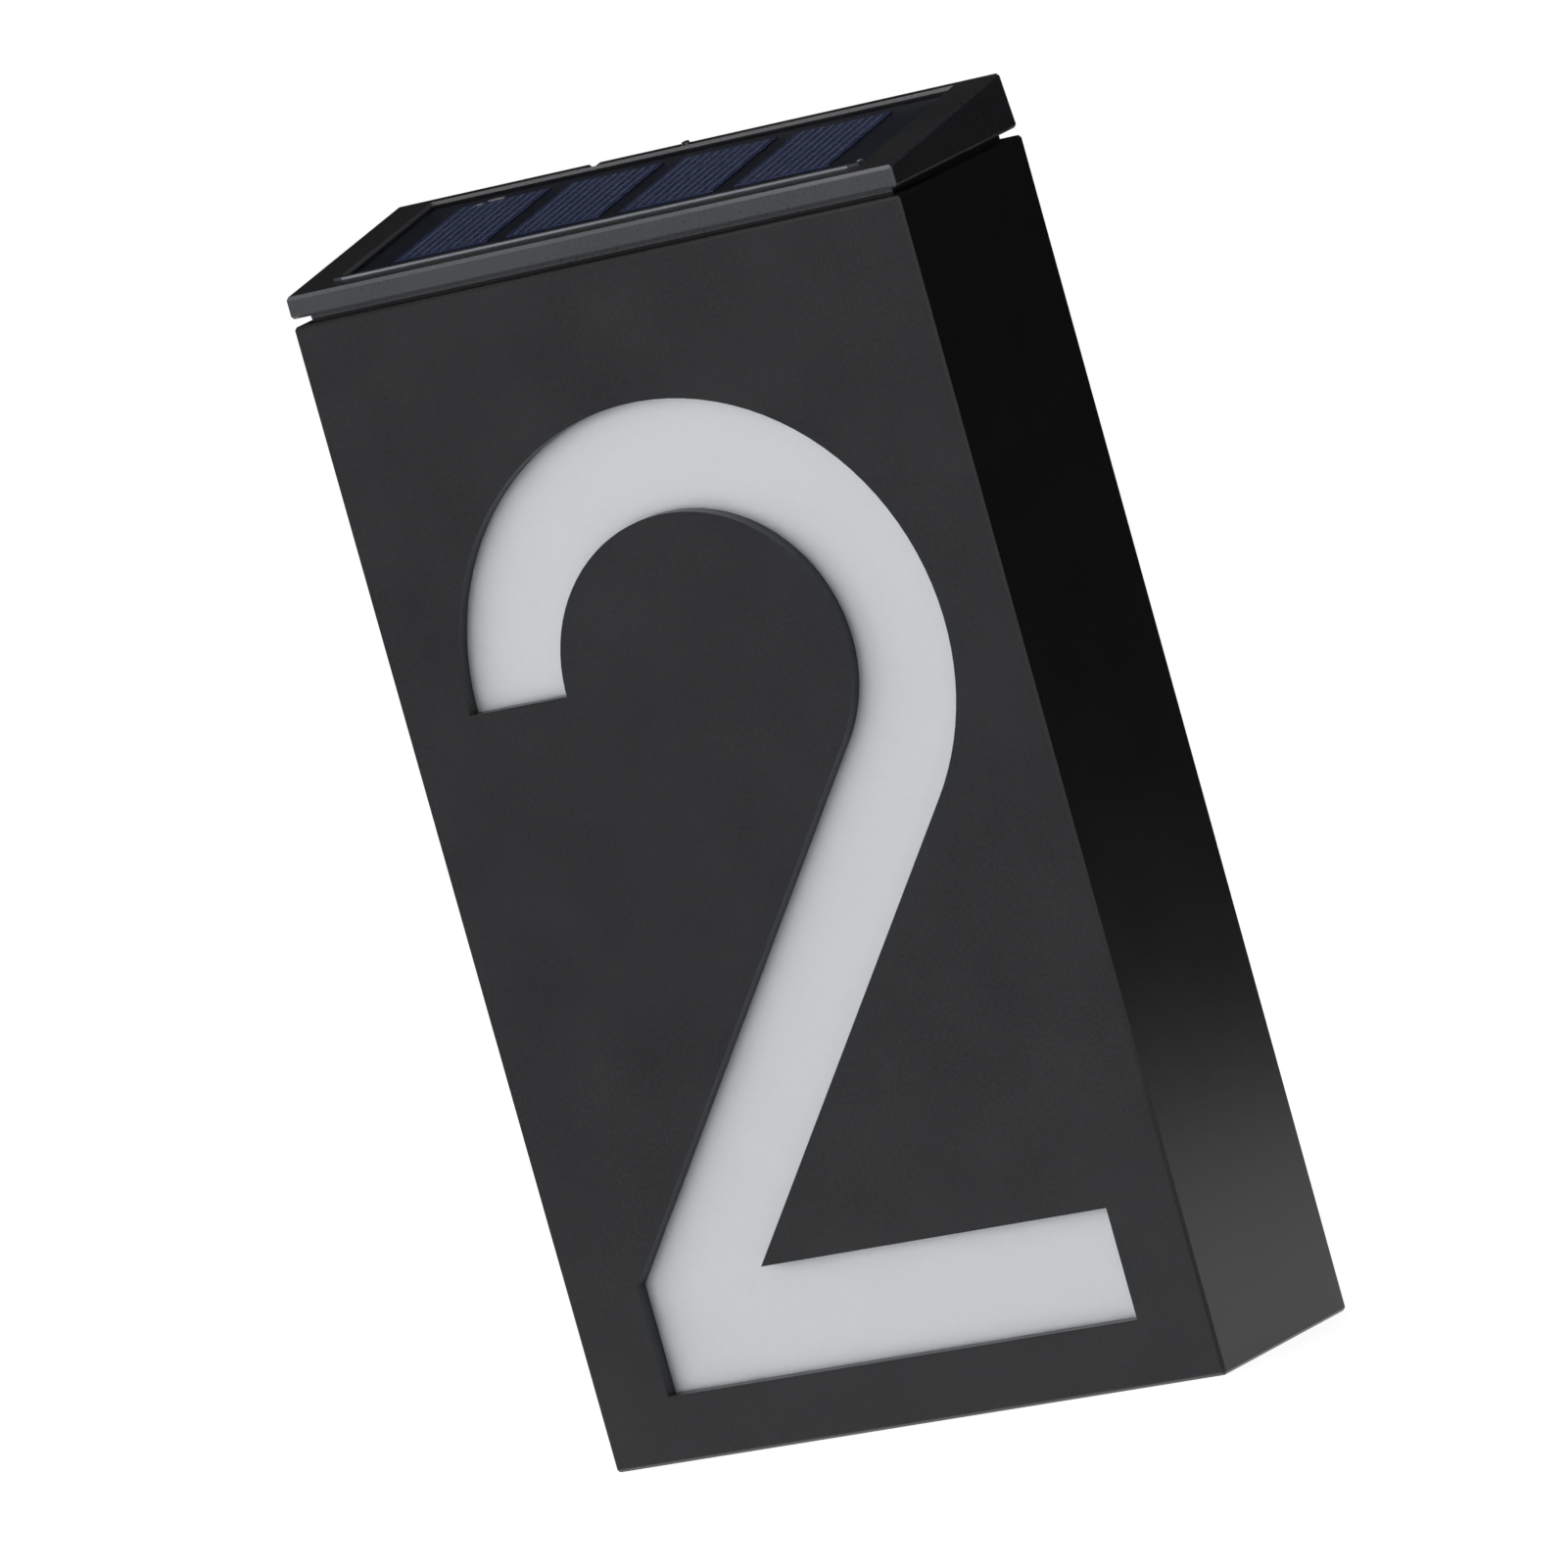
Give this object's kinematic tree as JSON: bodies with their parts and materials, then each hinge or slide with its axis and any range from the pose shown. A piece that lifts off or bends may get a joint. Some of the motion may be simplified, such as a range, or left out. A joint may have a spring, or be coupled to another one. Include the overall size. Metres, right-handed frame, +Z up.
{
  "type": "illuminated house number sign",
  "caption": "Solar wall light for a house number: slim black housing with the numeral cut through to a white diffuser, under a wedge-shaped solar cap.",
  "frame": {"origin": "middle of the flat base, on the plane that the light stands on", "axes": "+X to the right as seen from the front, +Y back towards the wall, +Z up; the numeral faces -Y"},
  "size_m": [0.1, 0.031, 0.1703],
  "materials": {
    "housing_black": "fine satin texture",
    "lid_black": "fine satin texture",
    "opal_white": "milky satin",
    "tray_white": "gloss",
    "cell_navy": "glossy under a clear sheet",
    "clear_sheet": "clear",
    "board_green": "solder resist",
    "board_white": "white solder resist",
    "panel_backing": "black laminate",
    "steel": "zinc plated",
    "stainless": "bright",
    "brass": "turned",
    "nickel": "nickel plated",
    "rubber_black": "matt",
    "seal_grey": "matt silicone",
    "tape_white": "foam",
    "battery_wrap": "shrink wrap",
    "lead_red": "insulation",
    "chip_black": "moulded",
    "ferrite": "matt",
    "led_yellow": "phosphor"
  },
  "bodies": {
    "light": {"housing": "housing_black", "diffuser": "opal_white", "light_tray": "tray_white", "led_board": "board_white", "leds": "led_yellow", "led_leads": "lead_red", "back_cover": "housing_black", "cover_gasket": "seal_grey", "cover_screws": "stainless", "door_inserts": "brass", "battery": "battery_wrap", "battery_spring": "nickel", "battery_contacts": "nickel", "battery_leads": "lead_red", "control_board": "board_green", "board_screws": "steel", "controller_chip": "chip_black", "inductor": "ferrite", "switch_body": "nickel", "switch_seal": "seal_grey", "solar_lid": "lid_black", "lid_gasket": "rubber_black", "lid_screws": "stainless", "panel_cover": "clear_sheet", "solar_cells": "cell_navy", "panel_board": "panel_backing", "panel_tape": "tape_white", "lead_grommet": "rubber_black", "panel_leads": "lead_red"},
    "door": {"battery_door": "housing_black", "door_gasket": "seal_grey", "door_screws": "stainless"},
    "knob": {"switch_knob": "chip_black"}
  },
  "joints": [
    {"name": "battery_door_lift", "type": "slide", "parent": "light", "child": "door", "axis": [0, 1, 0], "range_m": [0, 0.02]},
    {"name": "switch_slide", "type": "slide", "parent": "light", "child": "knob", "axis": [1, 0, 0], "range_m": [0, 0.0025]}
  ]
}
